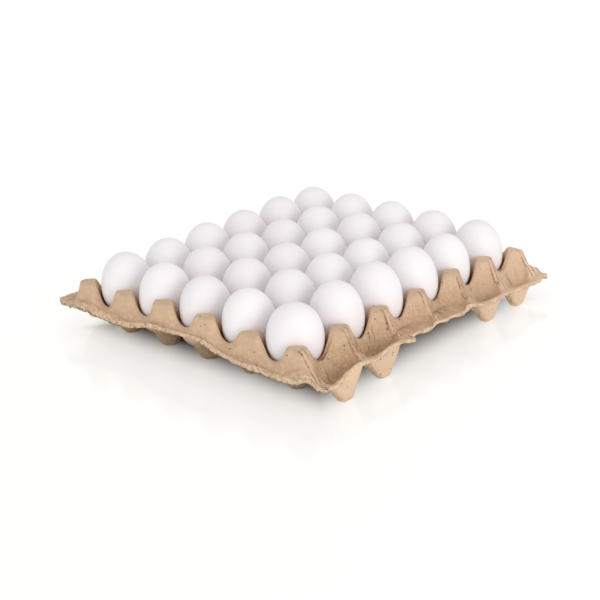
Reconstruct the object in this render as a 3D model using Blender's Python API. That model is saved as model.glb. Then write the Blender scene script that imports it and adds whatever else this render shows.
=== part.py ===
"""A moulded pulp tray with thirty white eggs.

The frame has its origin under the middle of the tray, on the surface that the tray stands on.
+X runs along the rows of six eggs, +Y along the rows of five, and +Z is up.
"""

import math
import random

import bmesh
import bpy
import numpy as np

# Layout of the tray, in cells and metres
CELLS_X = 6
CELLS_Y = 5
PITCH_X = 0.0470
PITCH_Y = 0.0483

# Heights above the surface that the tray stands on
POST_TOP = 0.0470
SADDLE = 0.0276
CUP_FLOOR = 0.0022
PULP = 0.0022

# Places round a point, as shares of the pulp's thickness, at which the underside is held down
UNDERSIDE_RINGS = (0.5, 0.87, 1.0)
UNDERSIDE_STEPS = 12

# Cup wall, as distance from the cup's axis and height of the upper surface
CUP_WALL = (
    (0.0054, CUP_FLOOR), (0.0085, 0.0080), (0.0112, 0.0125), (0.0140, 0.0150), (0.0165, 0.0176),
    (0.0185, 0.0203), (0.0200, 0.0230), (0.0215, 0.0268), (0.0222, 0.0285), (0.0231, 0.0317),
    (0.0241, 0.0357), (0.0253, 0.0400), (0.0266, 0.0440), (0.0275, 0.0468), (0.0279, POST_TOP),
)

# The ring inside a cup that the egg stands on
SEAT_RADIUS = 0.0130
SEAT_REACH = 0.0050
SEAT_RISE = 0.0014

# Flat ribs between two cups, and how much wider the posts are than the bare walls leave them
RIB_HALF = 0.0020
POST_STRETCH = 1.10

# Feet are octagons, which turn into round cups above
FOOT_FACETS = 0.0190
ROUND_ABOVE = 0.0060
OCTAGON_POWER = 14

# Posts and saddles along one end and one side; the far end and the far side have them in reverse
END_POSTS = (0.0454, 0.0461, 0.0486, 0.0500, 0.0473, 0.0475)
SIDE_POSTS = (0.0454, 0.0467, 0.0466, 0.0460, 0.0490, 0.0463, 0.0419)
END_SADDLES = (0.0308, 0.0335, 0.0350, 0.0333, 0.0305)
SIDE_SADDLES = (0.0233, 0.0292, 0.0300, 0.0302, 0.0292, 0.0262)

# End edges, where a steep face drops from the last posts to a thick lip (fractions of a cell)
END_FACE_TOP = 0.05
END_FACE_FOOT = 0.16
END_LIP = 0.20
LIP_THICKNESS = 0.0055
END_LIP_HEIGHTS = (
    (-0.58, 0.0240), (-0.43, 0.0262), (0.00, 0.0252), (0.66, 0.0270), (1.10, 0.0260), (1.50, 0.0292),
    (2.00, 0.0350), (2.70, 0.0340), (3.20, 0.0330), (3.70, 0.0280), (4.10, 0.0265), (4.50, 0.0300),
    (4.90, 0.0320), (5.33, 0.0315), (5.58, 0.0305),
)

# How much lower the far end's lip runs out at its near corner, and from where
FAR_LIP_DROP = 0.0065
FAR_DROP_FROM = 4.40
FAR_DROP_LENGTH = 0.80

# Side edges, where half cups stand outside the last posts (fractions of a cell)
# Each near half cup's shift along the tray and the place of its axis
HALF_CUPS = ((0.09, 0.45), (0.13, 0.37), (0.00, 0.39), (0.00, 0.39), (0.10, 0.35), (0.02, 0.36))
FAR_HALF_CUP = (0.00, 0.38)
FAR_FLOOR = 0.0075
SHIFT_FULL = 0.25
HALF_CUP_INNER = 0.03
HALF_CUP_OUTER = 0.54
FLAP_WALL = ((0.0054, CUP_FLOOR), (0.0110, 0.0120), (0.0165, 0.0200), (0.0222, 0.0300))
FLAP_BLEND = 0.12
RIB_TOP_END = 0.11
RIB_FOOT = 0.42
SIDE_RIM = 0.575
RIM_WAVE = 0.012
RIM_WAVE_RATE = 5.1
LIP_WAVE_RATE = 3.7
LIP_WAVE_START = 1.0
RIM_THICKNESS = 0.0030
SIDE_RIM_HEIGHTS = (
    (-0.20, 0.0245), (0.20, 0.0205), (0.50, 0.0262), (0.70, 0.0282), (1.00, 0.0265), (1.20, 0.0252),
    (1.60, 0.0295), (2.05, 0.0265), (2.40, 0.0290), (3.20, 0.0262), (3.24, 0.0305), (3.56, 0.0300),
    (3.95, 0.0270), (4.25, 0.0235), (4.86, 0.0232), (5.50, 0.0208), (5.90, 0.0190), (6.20, 0.0240),
)
FAR_RIM_HEIGHTS = (
    (-0.20, 0.0280), (0.00, 0.0295), (0.50, 0.0275), (1.20, 0.0258), (1.70, 0.0290), (2.10, 0.0268),
    (2.60, 0.0290), (3.12, 0.0265), (3.24, 0.0325), (3.60, 0.0305), (4.20, 0.0240), (4.90, 0.0250),
    (5.40, 0.0225), (6.20, 0.0230),
)

# Finger gaps in the middle of the two side edges, where the half cups are left out
GAP_CUP_FROM = 2.00
GAP_FROM = 2.25
GAP_MIDDLE = 3.22
GAP_TO = 3.95
GAP_INNER = 0.10
GAP_FLOOR = 0.0240
GAP_FIRST_RIM = (0.39, 0.53)
GAP_SECOND_RIM = (0.42, 0.56)

# How far two opposite corners are drawn in, in cells, and from where along the end
CORNER_PULL = 0.19
CORNER_FROM = 0.35
CORNER_REACH = 0.03
CORNER_REACH_FROM = 0.30
CORNER_REACH_LENGTH = 0.50

# Where the surface has its grid lines, as fractions of a cell and of the margins
CELL_LINES = (0.0, 0.10, 0.24, 0.42, 0.58, 0.76, 0.90)
END_LINES = (END_FACE_TOP, END_FACE_FOOT, END_LIP)
SIDE_LINES = (0.13, 0.26, 0.36, 0.41, 0.50, SIDE_RIM)

# Eggs
EGG_RADIUS = 0.0222
EGG_GIRTH_SHARE = 0.15
EGG_ABOVE = 0.0307
EGG_BELOW = 0.0284
EGG_SHOULDER = 0.043
EGG_WIDEST_HEIGHT = 0.0400
EGG_SEGMENTS = 12
EGG_RINGS = 7
EGG_LENGTH_SPREAD = 0.012
EGG_TILT = math.radians(2.0)
EGG_GIRTHS = {(1, 1): 0.020, (1, 3): 0.008, (1, 4): 0.007, (1, 5): -0.045, (2, 1): -0.020, (3, 1): -0.020}
EGG_STANDOUTS = {
    (1, 1): -0.085,
    (1, 3): 0.071, (1, 4): 0.056, (3, 5): 0.061, (2, 5): 0.038, (5, 5): 0.034, (4, 2): 0.025,
    (1, 2): 0.020, (3, 1): -0.039, (2, 1): -0.042, (5, 6): -0.041, (1, 6): -0.031, (5, 2): -0.030,
}
SEED = 30


def clear_scene():
    for item in list(bpy.data.objects):
        bpy.data.objects.remove(item, do_unlink=True)


def material(name, colour, roughness):
    made = bpy.data.materials.new(name)
    made.use_nodes = True
    shader = made.node_tree.nodes["Principled BSDF"]
    shader.inputs["Base Color"].default_value = (*colour, 1.0)
    shader.inputs["Roughness"].default_value = roughness
    shader.inputs["Metallic"].default_value = 0.0
    made.diffuse_color = (*colour, 1.0)
    return made


def smooth_step(value):
    t = np.clip(value, 0.0, 1.0)
    return t * t * (3.0 - 2.0 * t)


def read_curve(points, place):
    """Height at a place, from points given as place and height."""
    return np.interp(place, [p[0] for p in points], [p[1] for p in points])


def octagon_distance(x, y):
    """Distance from the axis of an octagon with slightly rounded corners."""
    total = 0.0
    for turn in range(4):
        angle = turn * math.pi / 4
        total = total + np.abs(x * math.cos(angle) + y * math.sin(angle)) ** OCTAGON_POWER
    return total ** (1.0 / OCTAGON_POWER)


def foot_distance(x, y):
    """Distance from a cup's axis, along facets near the foot and along circles above."""
    distance = np.hypot(x, y)
    faceted = smooth_step((FOOT_FACETS - distance) / ROUND_ABOVE)
    return distance + (octagon_distance(x, y) - distance) * faceted


def post_top(v, u):
    """Height of the post nearest to a place, with v and u counted in cells from one corner post."""
    post_v = np.clip(np.rint(v), 0, CELLS_X).astype(int)
    post_u = np.clip(np.rint(u), 0, CELLS_Y).astype(int)
    end = np.array(END_POSTS)
    side = np.array(SIDE_POSTS)
    top = np.full(np.shape(v), POST_TOP)
    top = np.where(post_u == CELLS_Y, side[CELLS_X - post_v], top)
    top = np.where(post_v == CELLS_X, end[CELLS_Y - post_u], top)
    top = np.where(post_u == 0, side[post_v], top)
    return np.where(post_v == 0, end[post_u], top)


def set_post(height, v, u):
    """Stretches what stands above the saddles to the height of the nearest post."""
    share = (post_top(v, u) - SADDLE) / (POST_TOP - SADDLE)
    risen = np.minimum((height - SADDLE) * POST_STRETCH, POST_TOP - SADDLE)
    return np.where(height > SADDLE, SADDLE + risen * share, height)


def cup_height(v, u):
    """Height inside the field of cups."""
    col = np.clip(np.floor(v), 0, CELLS_X - 1).astype(int)
    row = np.clip(np.floor(u), 0, CELLS_Y - 1).astype(int)
    across = (v - col - 0.5) * PITCH_X
    along = (u - row - 0.5) * PITCH_Y
    near_end = (col == 0) & (across < 0)
    far_end = (col == CELLS_X - 1) & (across > 0)
    near_side = (row == 0) & (along < 0)
    far_side = (row == CELLS_Y - 1) & (along > 0)
    off_end = PITCH_X / 2 - np.abs(across)
    off_side = PITCH_Y / 2 - np.abs(along)
    across = np.minimum(np.abs(across), PITCH_X / 2 - RIB_HALF)
    along = np.minimum(np.abs(along), PITCH_Y / 2 - RIB_HALF)
    distance = foot_distance(across, along)
    plain = read_curve(CUP_WALL, distance)
    seat = smooth_step(1.0 - np.abs(distance - SEAT_RADIUS) / SEAT_REACH)
    height = set_post(plain, v, u) + SEAT_RISE * seat
    end = np.array(END_SADDLES) - SADDLE
    side = np.array(SIDE_SADDLES) - SADDLE
    end_rise = np.where(near_end, end[row], np.where(far_end, end[CELLS_Y - 1 - row], 0.0))
    side_rise = np.where(near_side, side[col], np.where(far_side, side[CELLS_X - 1 - col], 0.0))
    on_end = smooth_step(1.0 - off_end / RIB_HALF)
    on_side = smooth_step(1.0 - off_side / RIB_HALF)
    rise = end_rise * on_end + side_rise * on_side
    return height + rise * np.clip((POST_TOP - plain) / (POST_TOP - SADDLE), 0.0, 1.0)


def half_cup_shift(v, out, near):
    """How far a half cup's middle stands from the middle of its cell."""
    col = np.clip(np.floor(v), 0, CELLS_X - 1).astype(int)
    table = np.array(HALF_CUPS)
    return np.where(near, table[col, 0], FAR_HALF_CUP[0]) * smooth_step(out / SHIFT_FULL)


def half_cup_height(v, u, out):
    """Height outside the last posts of a side edge, with out counted in cells from those posts."""
    near = u < CELLS_Y / 2
    col = np.clip(np.floor(v), 0, CELLS_X - 1).astype(int)
    shift = half_cup_shift(v, out, near)
    axis = np.where(near, np.array(HALF_CUPS)[col, 1], FAR_HALF_CUP[1])
    part = v - col
    left = 0.5 * part / (0.5 + shift)
    right = 0.5 + 0.5 * (part - 0.5 - shift) / (0.5 - shift)
    across = (np.where(part < 0.5 + shift, left, right) - 0.5) * PITCH_X
    across = np.minimum(np.abs(across), PITCH_X / 2 - RIB_HALF)
    reach = PITCH_Y / 2 - RIB_HALF
    inward = np.clip((axis - out) / (axis - HALF_CUP_INNER), 0.0, 1.0) * reach
    outward = np.clip((out - axis) / (HALF_CUP_OUTER - axis), 0.0, 1.0) * reach
    inner = read_curve(CUP_WALL, foot_distance(across, inward))
    outer = read_curve(FLAP_WALL, octagon_distance(across, outward))
    cup = inner + (outer - inner) * smooth_step((out - axis) / FLAP_BLEND + 1.0)
    cup = np.where(near, cup, np.maximum(cup, FAR_FLOOR))
    in_gap = (v > GAP_CUP_FROM) & (v < GAP_TO) & (out > GAP_INNER)
    cup = np.where(in_gap, np.maximum(cup, GAP_FLOOR), cup)
    cup = set_post(cup, v, u)
    rim = np.where(near, read_curve(SIDE_RIM_HEIGHTS, v), read_curve(FAR_RIM_HEIGHTS, v))
    drop = np.clip((out - RIB_TOP_END) / (RIB_FOOT - RIB_TOP_END), 0.0, 1.0)
    top = post_top(v, u)
    return np.minimum(cup, top + (rim - top) * drop)


def end_lip_height(v, u):
    near = v < CELLS_X / 2
    along = np.where(near, u, CELLS_Y - u)
    drop = np.where(near, 0.0, FAR_LIP_DROP * smooth_step((along - FAR_DROP_FROM) / FAR_DROP_LENGTH))
    return read_curve(END_LIP_HEIGHTS, along) - drop


def upper_height(x, y):
    """Height of the tray's upper surface."""
    v = x / PITCH_X + CELLS_X / 2
    u = y / PITCH_Y + CELLS_Y / 2
    beyond_side = np.maximum(-u, u - CELLS_Y)
    beyond_end = np.maximum(-v, v - CELLS_X)
    inside_v = np.clip(v, -END_FACE_TOP, CELLS_X + END_FACE_TOP)
    half_cups = half_cup_height(inside_v, u, beyond_side)
    height = np.where(beyond_side > 0, half_cups, cup_height(inside_v, u))
    drop = np.clip((beyond_end - END_FACE_TOP) / (END_FACE_FOOT - END_FACE_TOP), 0.0, 1.0)
    return height + (np.minimum(end_lip_height(v, u), height) - height) * drop


def lower_height(x, y):
    """Height of the tray's underside, one thickness of pulp from the upper surface everywhere."""
    lowest = upper_height(x, y) - PULP
    for share in UNDERSIDE_RINGS:
        sink = PULP * math.sqrt(1.0 - share * share)
        for step in range(UNDERSIDE_STEPS):
            angle = step * math.tau / UNDERSIDE_STEPS
            near = upper_height(x + PULP * share * math.cos(angle), y + PULP * share * math.sin(angle))
            lowest = np.minimum(lowest, near - sink)
    return lowest


def grid_lines(cells, margins):
    inner = [cell + line for cell in range(cells) for line in CELL_LINES] + [float(cells)]
    return [-line for line in reversed(margins)] + inner + [cells + line for line in margins]


def side_rim_reach(v):
    """How far out the side edge comes, in cells, along the tray."""
    corner = CORNER_REACH * smooth_step((CORNER_REACH_FROM - v) / CORNER_REACH_LENGTH)
    reach = SIDE_RIM + RIM_WAVE * np.sin(RIM_WAVE_RATE * v) + corner
    first = np.interp(v, (GAP_FROM, GAP_MIDDLE), GAP_FIRST_RIM)
    second = np.interp(v, (GAP_MIDDLE, GAP_TO), GAP_SECOND_RIM)
    reach = np.where((v > GAP_FROM) & (v < GAP_MIDDLE), first, reach)
    return np.where((v >= GAP_MIDDLE) & (v < GAP_TO), second, reach)


def stretch_margin(line, cells, last, reach):
    """Moves a margin's grid lines so that the last one lands on the edge's real reach."""
    moved = np.maximum(-line, line - cells) * reach / last
    placed = np.where(line < 0.0, -moved, cells + moved)
    return np.where((line < 0.0) | (line > cells), placed, line)


def surface_points():
    v, u = np.meshgrid(grid_lines(CELLS_X, END_LINES), grid_lines(CELLS_Y, SIDE_LINES))
    out_u = np.maximum(-u, u - CELLS_Y)
    col = np.clip(np.floor(v), 0, CELLS_X - 1)
    part = v - col
    shift = np.where(out_u > 0.0, half_cup_shift(v, out_u, u < 0.0), 0.0)
    follow = shift * (1.0 - np.abs(2.0 * part - 1.0))
    follow = np.where((v > 0.0) & (v < CELLS_X), follow, 0.0)
    lip_reach = END_LIP + RIM_WAVE * np.sin(LIP_WAVE_RATE * u + LIP_WAVE_START)
    placed_v = stretch_margin(v, CELLS_X, END_LIP, lip_reach) + follow
    placed_u = stretch_margin(u, CELLS_Y, SIDE_RIM, side_rim_reach(v))
    out_v = np.clip(np.maximum(-v, v - CELLS_X) / END_LIP, 0.0, 1.0)
    from_corner = np.where(v < 0.0, u, CELLS_Y - u)
    near_corner = np.clip((CORNER_FROM - from_corner) / (CORNER_FROM + SIDE_RIM), 0.0, 1.0) ** 2
    pull = CORNER_PULL * near_corner * out_v
    x = (placed_v + np.where(v < 0.0, pull, -pull) - CELLS_X / 2) * PITCH_X
    y = (placed_u - CELLS_Y / 2) * PITCH_Y
    return x, y


def edge_ring(rows):
    """The outermost vertices of a grid in order, once around."""
    right = [row[-1] for row in rows[1:]]
    left = [row[0] for row in rows[-2:0:-1]]
    return rows[0] + right + rows[-1][-2::-1] + left


def build_tray(pulp):
    x, y = surface_points()
    rows, cols = x.shape
    top = upper_height(x, y)
    bottom = lower_height(x, y)
    for side in (0, -1):
        bottom[side, :] = top[side, :] - RIM_THICKNESS
        bottom[:, side] = top[:, side] - LIP_THICKNESS
    mesh = bmesh.new()
    upper = [[mesh.verts.new((x[j, i], y[j, i], top[j, i])) for i in range(cols)] for j in range(rows)]
    lower = [[mesh.verts.new((x[j, i], y[j, i], bottom[j, i])) for i in range(cols)] for j in range(rows)]
    for j in range(rows - 1):
        for i in range(cols - 1):
            # Each quad is split so that its diagonal runs round the nearest cup
            a, b, c, d = upper[j][i], upper[j][i + 1], upper[j + 1][i + 1], upper[j + 1][i]
            e, f, g, h = lower[j][i], lower[j][i + 1], lower[j + 1][i + 1], lower[j + 1][i]
            if (a.co - c.co).length < (b.co - d.co).length:
                mesh.faces.new((a, b, c))
                mesh.faces.new((a, c, d))
                mesh.faces.new((e, g, f))
                mesh.faces.new((e, h, g))
            else:
                mesh.faces.new((a, b, d))
                mesh.faces.new((b, c, d))
                mesh.faces.new((e, h, f))
                mesh.faces.new((f, h, g))
    ring_top = edge_ring(upper)
    ring_low = edge_ring(lower)
    for k in range(len(ring_top)):
        n = (k + 1) % len(ring_top)
        mesh.faces.new((ring_low[k], ring_low[n], ring_top[n]))
        mesh.faces.new((ring_low[k], ring_top[n], ring_top[k]))
    data = bpy.data.meshes.new("tray")
    mesh.to_mesh(data)
    mesh.free()
    data.materials.append(pulp)
    tray = bpy.data.objects.new("tray", data)
    bpy.context.collection.objects.link(tray)
    return tray


def egg_mesh(name, growth, girth):
    """One egg, pointed end up, about its own axis, with its widest ring at height 0."""
    mesh = bmesh.new()
    bmesh.ops.create_uvsphere(mesh, u_segments=EGG_SEGMENTS, v_segments=EGG_RINGS, radius=1.0)
    radius = EGG_RADIUS * (1.0 + EGG_GIRTH_SHARE * growth + girth)
    radius /= math.sqrt(math.cos(math.pi / EGG_SEGMENTS))
    for vert in mesh.verts:
        rise = vert.co.z
        taper = 1.0 + EGG_SHOULDER * rise * rise if rise > 0.0 else 1.0
        vert.co.x *= radius * taper
        vert.co.y *= radius * taper
        vert.co.z *= EGG_ABOVE * (1.0 + growth) if rise > 0.0 else EGG_BELOW
    data = bpy.data.meshes.new(name)
    mesh.to_mesh(data)
    mesh.free()
    data.shade_smooth()
    return data


def build_eggs(shell):
    draw = random.Random(SEED)
    for row in range(1, CELLS_Y + 1):
        for col in range(1, CELLS_X + 1):
            name = f"egg_{row}_{col}"
            growth = EGG_STANDOUTS.get((row, col), draw.uniform(-EGG_LENGTH_SPREAD, EGG_LENGTH_SPREAD))
            data = egg_mesh(name, growth, EGG_GIRTHS.get((row, col), 0.0))
            data.materials.append(shell)
            egg = bpy.data.objects.new(name, data)
            bpy.context.collection.objects.link(egg)
            egg.location = (
                (col - 0.5 - CELLS_X / 2) * PITCH_X,
                (row - 0.5 - CELLS_Y / 2) * PITCH_Y,
                EGG_WIDEST_HEIGHT,
            )
            egg.rotation_euler = (
                draw.uniform(-EGG_TILT, EGG_TILT),
                draw.uniform(-EGG_TILT, EGG_TILT),
                draw.uniform(0.0, math.tau),
            )


def main():
    clear_scene()
    pulp = material("moulded_pulp", (0.60, 0.43, 0.30), 0.95)
    shell = material("eggshell", (0.90, 0.86, 0.85), 0.45)
    build_tray(pulp)
    build_eggs(shell)


main()
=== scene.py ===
"""Looks of a moulded pulp tray filled with thirty white eggs.

Every length is in metres, in the frame of the model that is loaded first: the origin is under the
middle of the tray, +X runs along the rows of six eggs, +Y along the rows of five, and +Z is up.
"""

import math
import random

import bpy
import numpy as np
from bpy.props import FloatProperty, FloatVectorProperty, IntProperty, PointerProperty
from mathutils import Matrix, Vector


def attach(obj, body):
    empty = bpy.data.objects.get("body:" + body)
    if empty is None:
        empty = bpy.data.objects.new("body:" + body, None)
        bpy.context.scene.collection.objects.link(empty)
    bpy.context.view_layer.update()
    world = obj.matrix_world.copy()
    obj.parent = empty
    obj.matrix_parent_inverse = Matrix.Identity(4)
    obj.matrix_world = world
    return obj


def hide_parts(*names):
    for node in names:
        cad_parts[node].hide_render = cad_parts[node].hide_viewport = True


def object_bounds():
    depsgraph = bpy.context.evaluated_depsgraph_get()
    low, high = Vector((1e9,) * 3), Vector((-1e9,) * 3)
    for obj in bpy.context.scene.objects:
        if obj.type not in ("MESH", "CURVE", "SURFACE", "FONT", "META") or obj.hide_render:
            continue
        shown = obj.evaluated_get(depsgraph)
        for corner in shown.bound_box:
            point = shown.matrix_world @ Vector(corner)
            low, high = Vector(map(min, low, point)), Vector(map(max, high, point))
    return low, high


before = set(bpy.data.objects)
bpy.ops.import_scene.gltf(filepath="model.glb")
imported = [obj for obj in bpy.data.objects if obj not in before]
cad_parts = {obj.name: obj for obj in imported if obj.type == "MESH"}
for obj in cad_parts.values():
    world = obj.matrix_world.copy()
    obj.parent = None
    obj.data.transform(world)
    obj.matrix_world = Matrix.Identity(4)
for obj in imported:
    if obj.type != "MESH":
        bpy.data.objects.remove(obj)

bl_info = {
    "name": "Egg tray",
    "version": (1, 0, 0),
    "blender": (4, 5, 0),
    "location": "3D View > Sidebar > Egg tray",
    "description": "Builds a moulded pulp tray with thirty white eggs on a pale floor",
    "category": "Object",
}

MODEL_LOW, MODEL_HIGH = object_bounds()
BODY = "root"

# Layout of the tray, in cells
CELLS_X = 6
CELLS_Y = 5

# Cup wall, as distance from the cup's axis and height of the upper surface
CUP_WALL = (
    (0.0045, 0.0022),
    (0.0060, 0.0036),
    (0.0085, 0.0080),
    (0.0112, 0.0125),
    (0.0140, 0.0150),
    (0.0165, 0.0176),
    (0.0185, 0.0203),
    (0.0200, 0.0230),
    (0.0215, 0.0268),
    (0.0222, 0.0285),
    (0.0231, 0.0317),
    (0.0241, 0.0357),
    (0.0253, 0.0400),
    (0.0266, 0.0440),
    (0.0275, 0.0468),
    (0.0279, 0.0470),
)
# The ring inside a cup that the egg stands on
SEAT_RADIUS = 0.0130
SEAT_REACH = 0.0050
SEAT_RISE = 0.0022

POST_TOP = 0.0470
POST_STRETCH = 1.10
SADDLE = 0.0276
PULP = 0.0022
RIB_HALF = 0.0020
FOOT_FACETS = 0.0190
ROUND_ABOVE = 0.0060
OCTAGON_POWER = 14

# Rings of points round each point, as shares of the pulp's thickness, that the underside stays clear of
UNDERSIDE_RINGS = (0.5, 0.87, 1.0)
UNDERSIDE_STEPS = 12

# Posts and saddles along one end and one side; the far end and the far side have them in reverse
END_POSTS = (0.0454, 0.0461, 0.0486, 0.0500, 0.0473, 0.0475)
SIDE_POSTS = (0.0454, 0.0467, 0.0466, 0.0460, 0.0490, 0.0463, 0.0419)
END_SADDLES = (0.0308, 0.0335, 0.0350, 0.0333, 0.0305)
SIDE_SADDLES = (0.0233, 0.0292, 0.0300, 0.0302, 0.0292, 0.0262)

# End edges, where a steep face drops from the last posts to a thick lip (fractions of a cell)
END_FACE_TOP = 0.05
END_FACE_FOOT = 0.16
END_LIP = 0.20
END_LIP_HEIGHTS = (
    (-0.58, 0.0240), (-0.43, 0.0262), (0.00, 0.0252), (0.66, 0.0270), (1.10, 0.0260), (1.50, 0.0292),
    (2.00, 0.0350), (2.70, 0.0340), (3.20, 0.0330), (3.70, 0.0280), (4.10, 0.0265), (4.50, 0.0300),
    (4.90, 0.0320), (5.33, 0.0315), (5.58, 0.0305),
)

# How much lower the far end's lip runs out at its near corner, and from where
FAR_LIP_DROP = 0.0065
FAR_DROP_FROM = 4.40
FAR_DROP_LENGTH = 0.80

# Depth of the end lip's torn edge
END_LIP_DEPTHS = (
    (-0.50, 0.0058), (0.00, 0.0054), (0.30, 0.0068), (0.75, 0.0066), (1.30, 0.0042), (1.75, 0.0060),
    (2.20, 0.0042), (2.70, 0.0052), (3.50, 0.0054), (4.10, 0.0066), (4.60, 0.0086), (5.00, 0.0086),
    (5.50, 0.0060),
)
# Gutter at the foot of the end face: its depth, where it runs along the end, and how fast it fades
GUTTER = 0.0016
GUTTER_FROM = 0.10
GUTTER_TO = 3.90
GUTTER_FADE = 0.5

# Side edges, where half cups stand outside the last posts (fractions of a cell)
# Each near half cup's shift along the tray and the place of its axis
HALF_CUPS = ((0.09, 0.45), (0.13, 0.37), (0.00, 0.39), (0.00, 0.39), (0.10, 0.35), (0.02, 0.36))
FAR_HALF_CUP = (0.00, 0.38)
SHIFT_FULL = 0.25
FAR_FLOOR = 0.0075
HALF_CUP_INNER = 0.03
HALF_CUP_OUTER = 0.54
SIDE_RIM = 0.575
RIM_WAVE = 0.012
RIM_WAVE_RATE = 5.1
LIP_WAVE_RATE = 3.7
LIP_WAVE_START = 1.0
# Straight outer wall of a half cup, as distance from its axis and height
FLAP_WALL = ((0.0040, 0.0022), (0.0060, 0.0045), (0.0110, 0.0120), (0.0165, 0.0200), (0.0222, 0.0300))
FLAP_BLEND = 0.12
RIB_TOP_END = 0.11
RIB_FOOT = 0.42
RIB_SOFT = 0.0004
SIDE_RIM_HEIGHTS = (
    (-0.20, 0.0245), (0.20, 0.0205), (0.50, 0.0262), (0.70, 0.0282), (1.00, 0.0265), (1.20, 0.0252),
    (1.60, 0.0295), (2.05, 0.0262), (2.22, 0.0240), (2.30, 0.0285), (2.50, 0.0290), (3.20, 0.0262),
    (3.24, 0.0305), (3.56, 0.0300), (3.95, 0.0270), (4.25, 0.0235), (4.86, 0.0232), (5.50, 0.0208),
    (5.90, 0.0190), (6.20, 0.0240),
)
FAR_RIM_HEIGHTS = (
    (-0.20, 0.0280), (0.00, 0.0295), (0.50, 0.0275), (1.20, 0.0258), (1.70, 0.0290), (2.10, 0.0268),
    (2.60, 0.0290), (3.12, 0.0265), (3.24, 0.0325), (3.60, 0.0305), (4.20, 0.0240), (4.90, 0.0250),
    (5.40, 0.0225), (6.20, 0.0230),
)

# Finger gaps in the middle of the two side edges, where the half cups are left out
GAP_CUP_FROM = 2.00
GAP_FROM = 2.25
GAP_MIDDLE = 3.22
GAP_TO = 3.95
GAP_INNER = 0.10
GAP_FLOOR = 0.0240
GAP_FIRST_RIM = (0.39, 0.53)
GAP_SECOND_RIM = (0.42, 0.56)

# How far two opposite corners are drawn in, in cells, and from where along the end
CORNER_PULL = 0.19
CORNER_FROM = 0.35
CORNER_REACH = 0.03
CORNER_REACH_FROM = 0.30
CORNER_REACH_LENGTH = 0.50

# Grid lines of the sheet: their offsets from a cell's edge and into the end margin, in cells, and how many
# there are in the side margin and across the torn edge
CELL_LINES = (0.0, 0.0160, 0.0320, 0.0430, 0.0560, 0.0730, 0.0920, 0.1120, 0.1340, 0.1580, 0.1840,
              0.2120, 0.2430, 0.2800, 0.3250, 0.3800, 0.4400)
END_LINES = (0.025, 0.050, 0.068, 0.088, 0.110, 0.135, 0.160, 0.180, 0.200)
SIDE_MARGIN_LINES = 23
EDGE_BANDS = 3

# Where the sheet is shut in beside an egg and gets painted shade, as distance from the cup's axis and height
# above the floor
DEEP_WITHIN = 0.0250
DEEP_FADE = 0.0022
DEEP_BELOW = 0.0450
DEEP_DEPTH = 0.0090

# Height of the darker cap on a post, painted shade on the post tops, and the depth over which it begins
CAP_DEPTH = 0.0030
CAP_FADE = 0.0016

# Where the side ribs' fold lines and the creases in the half cups show, in cells; their colour is darkened
# with painted shade
FOLD_FROM = 0.02
FOLD_START = 0.05
FOLD_TO = 0.46
FOLD_END = 0.08
CREASE_OUT = 0.16
CREASE_REACH = 0.26
CREASE_WIDTH = 0.34
CREASE_FADE = 0.15

# Torn edges: width of the band along the lips, which is darkened with painted shade, grid lines over which
# the edge frays, and the fringe's share between the two surfaces
LIP_BAND = 0.0042
FRAY_LINES = 2.0
FRINGE_SHARE = 0.5

# Undersides: how far past the last posts a point still counts as within them, over what length that
# fades, and the height below which the feet within them are shut in and get painted shade
SHUT_MARGIN = 0.0010
SHUT_MARGIN_FADE = 0.0020
SHUT_BELOW = 0.0220
SHUT_DEPTH = 0.0040
# Gain and start of the shares of painted shade on faces that look down or along -X, and a shut in foot's
# share
DOWN_GAIN = 1.6
DOWN_FROM = 0.35
ASIDE_GAIN = 2.2
ASIDE_FROM = 0.8
SHUT_CRUMBLED = 0.85

# Sizes of the unevenness of the pulp, and the height over which the feet stay plain
LUMP_SIZE = 0.0200
FIBRE_SIZE = 0.0045
TEAR_SIZE = 0.0085
FLAKE_SIZE = 0.0110
PLAIN_FOOT = 0.0010
PLAIN_FADE = 0.0060
LEAST_WEIGHT = 0.001

# Eggs
EGG_SHOULDER = 0.043
EGG_GIRTH_SHARE = 0.15
EGG_LENGTH_SPREAD = 0.012
EGG_GIRTHS = {(1, 1): 0.020, (1, 3): 0.008, (1, 4): 0.007, (1, 5): -0.045, (2, 1): -0.020, (3, 1): -0.020}
EGG_STANDOUTS = {
    (1, 1): -0.085,
    (1, 3): 0.071, (1, 4): 0.056, (3, 5): 0.061, (2, 5): 0.038, (5, 5): 0.034, (4, 2): 0.025,
    (1, 2): 0.020, (3, 1): -0.039, (2, 1): -0.042, (5, 6): -0.041, (1, 6): -0.031, (5, 2): -0.030,
}
EGG_SEED = 30

# Noises of the finishes, as cycles per metre, the levels where they begin and end, detail and stretch
PATCHES = (28.0, 0.35, 0.75)
FIBRES = (420.0, 0.45, 0.70, 6.0, (1.0, 0.5, 0.7))
PITS = (260.0, 0.34, 0.54, 5.0)
BREAKS = (110.0, 0.35, 0.60)
STREAKS = (420.0, 0.60, 0.70, 2.0, (1.0, 0.10, 0.10))
FRAYING = (130.0, 0.25, 0.75, 4.0)
LOOSE_PULP = (300.0, 0.30, 0.60, 4.0)
GRAIN = (620.0, 0.25, 0.75, 8.0)
CLOUDS = (45.0, 0.3, 0.75)
PORES = (1400.0, 0.35, 0.75, 2.0)
SWELL = (160.0, 0.2, 0.8, 2.0)

# Shares of the colours that are laid over one another; those of the undersides, caps, marks and band lay
# painted shade, the outer share painted light, and the pit share crumbling with painted shade
PATCH_SHARE = 0.45
FIBRE_SHARE = 0.55
UNDER_SHADE_SHARE = 0.60
CAP_SHADE_SHARE = 0.45
PIT_AND_SHADE_SHARE = 0.88
OUTER_LIGHT_SHARE = 0.60
MARK_SHADE_SHARE = 0.65
BAND_SHADE_SHARE = 0.75
TORN_BAND_SHARE = 0.55
CLOUD_SHARE = 0.35
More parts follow.
